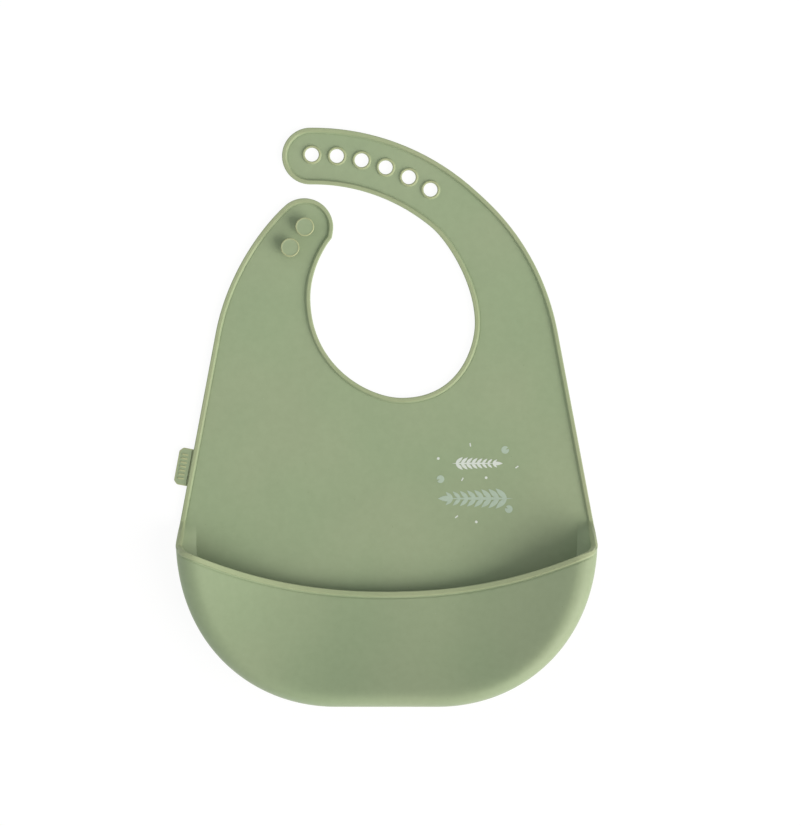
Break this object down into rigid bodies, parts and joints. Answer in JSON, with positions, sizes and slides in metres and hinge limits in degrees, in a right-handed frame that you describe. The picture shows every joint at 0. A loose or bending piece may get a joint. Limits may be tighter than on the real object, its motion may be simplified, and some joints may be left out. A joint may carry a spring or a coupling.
{
  "type": "silicone bib",
  "caption": "Soft moulded baby bib with a raised rim, a neck strap with snap holes, a stud tab and a wide crumb pocket with a beaded lip.",
  "frame": {"origin": "on the flat back face, on the bib's middle line between the neck opening and the pocket, 122.9 mm up from the pocket's lowest edge", "axes": "+Z out of the front, +Y towards the neck, +X towards the strap's root"},
  "size_m": [0.2311, 0.316, 0.025],
  "materials": {
    "silicone": "satin",
    "ink_pale": "matte",
    "ink_aqua": "matte"
  },
  "bodies": {
    "bib": {"lower_panel": "silicone", "panel_rim_left": "silicone", "panel_rim_right": "silicone", "pocket_wall_left": "silicone", "pocket_wall_right": "silicone", "pocket_wall_bottom": "silicone", "pocket_side_left": "silicone", "pocket_side_right": "silicone", "pocket_lip_left": "silicone", "pocket_lip_right": "silicone", "print_sprig_upper": "ink_pale", "print_sprig_lower": "ink_aqua", "print_round_leaves": "ink_aqua", "print_dots": "ink_pale", "print_dashes": "ink_pale"},
    "upper_panel": {"upper_panel": "silicone", "neck_rim": "silicone", "shoulder_rim_left": "silicone", "shoulder_rim_right": "silicone"},
    "strap_root": {"strap_root": "silicone", "strap_root_rim": "silicone"},
    "strap_middle": {"strap_middle": "silicone", "strap_middle_rim": "silicone"},
    "strap_end": {"strap_end": "silicone", "strap_end_rim": "silicone", "hole_collar_1": "silicone", "hole_collar_2": "silicone", "hole_collar_3": "silicone", "hole_collar_4": "silicone", "hole_collar_5": "silicone", "hole_collar_6": "silicone"},
    "stud_tab": {"stud_tab": "silicone", "stud_tab_rim": "silicone", "stud_upper": "silicone", "stud_lower": "silicone"},
    "pocket_front": {"pocket_front": "silicone", "pocket_lip": "silicone"},
    "side_tag": {"side_tag": "silicone", "side_tag_mark": "silicone"}
  },
  "joints": [
    {"name": "panel_fold", "type": "hinge", "parent": "bib", "child": "upper_panel", "pos_m": [0, 0.029, 0.003], "axis": [1, 0, 0], "range_deg": [0, 90], "stiffness_Nm_per_rad": 0.004},
    {"name": "strap_bend_root", "type": "hinge", "parent": "upper_panel", "child": "strap_root", "pos_m": [0.07375, 0.08516, 0.003], "axis": [0.9781, 0.2079, 0], "range_deg": [0, 35], "stiffness_Nm_per_rad": 0.0016},
    {"name": "strap_bend_middle", "type": "hinge", "parent": "strap_root", "child": "strap_middle", "pos_m": [0.05963, 0.12101, 0.003], "axis": [0.8572, 0.515, 0], "range_deg": [0, 35], "stiffness_Nm_per_rad": 0.0016},
    {"name": "strap_bend_end", "type": "hinge", "parent": "strap_middle", "child": "strap_end", "pos_m": [0.03461, 0.1503, 0.003], "axis": [0.6428, 0.766, 0], "range_deg": [0, 35], "stiffness_Nm_per_rad": 0.0016},
    {"name": "tab_bend", "type": "hinge", "parent": "upper_panel", "child": "stud_tab", "pos_m": [-0.061, 0.1135, 0.003], "axis": [0.9063, -0.4226, 0], "range_deg": [0, 60], "stiffness_Nm_per_rad": 0.0016},
    {"name": "mouth_open", "type": "hinge", "parent": "bib", "child": "pocket_front", "pos_m": [0, -0.104, 0.024], "axis": [1, 0, 0], "range_deg": [0, 25], "stiffness_Nm_per_rad": 0.1},
    {"name": "tag_flip", "type": "hinge", "parent": "bib", "child": "side_tag", "pos_m": [-0.10745, 0.007, 0.0021], "axis": [0.1845, 0.9828, 0], "range_deg": [0, 85], "stiffness_Nm_per_rad": 0.002}
  ]
}
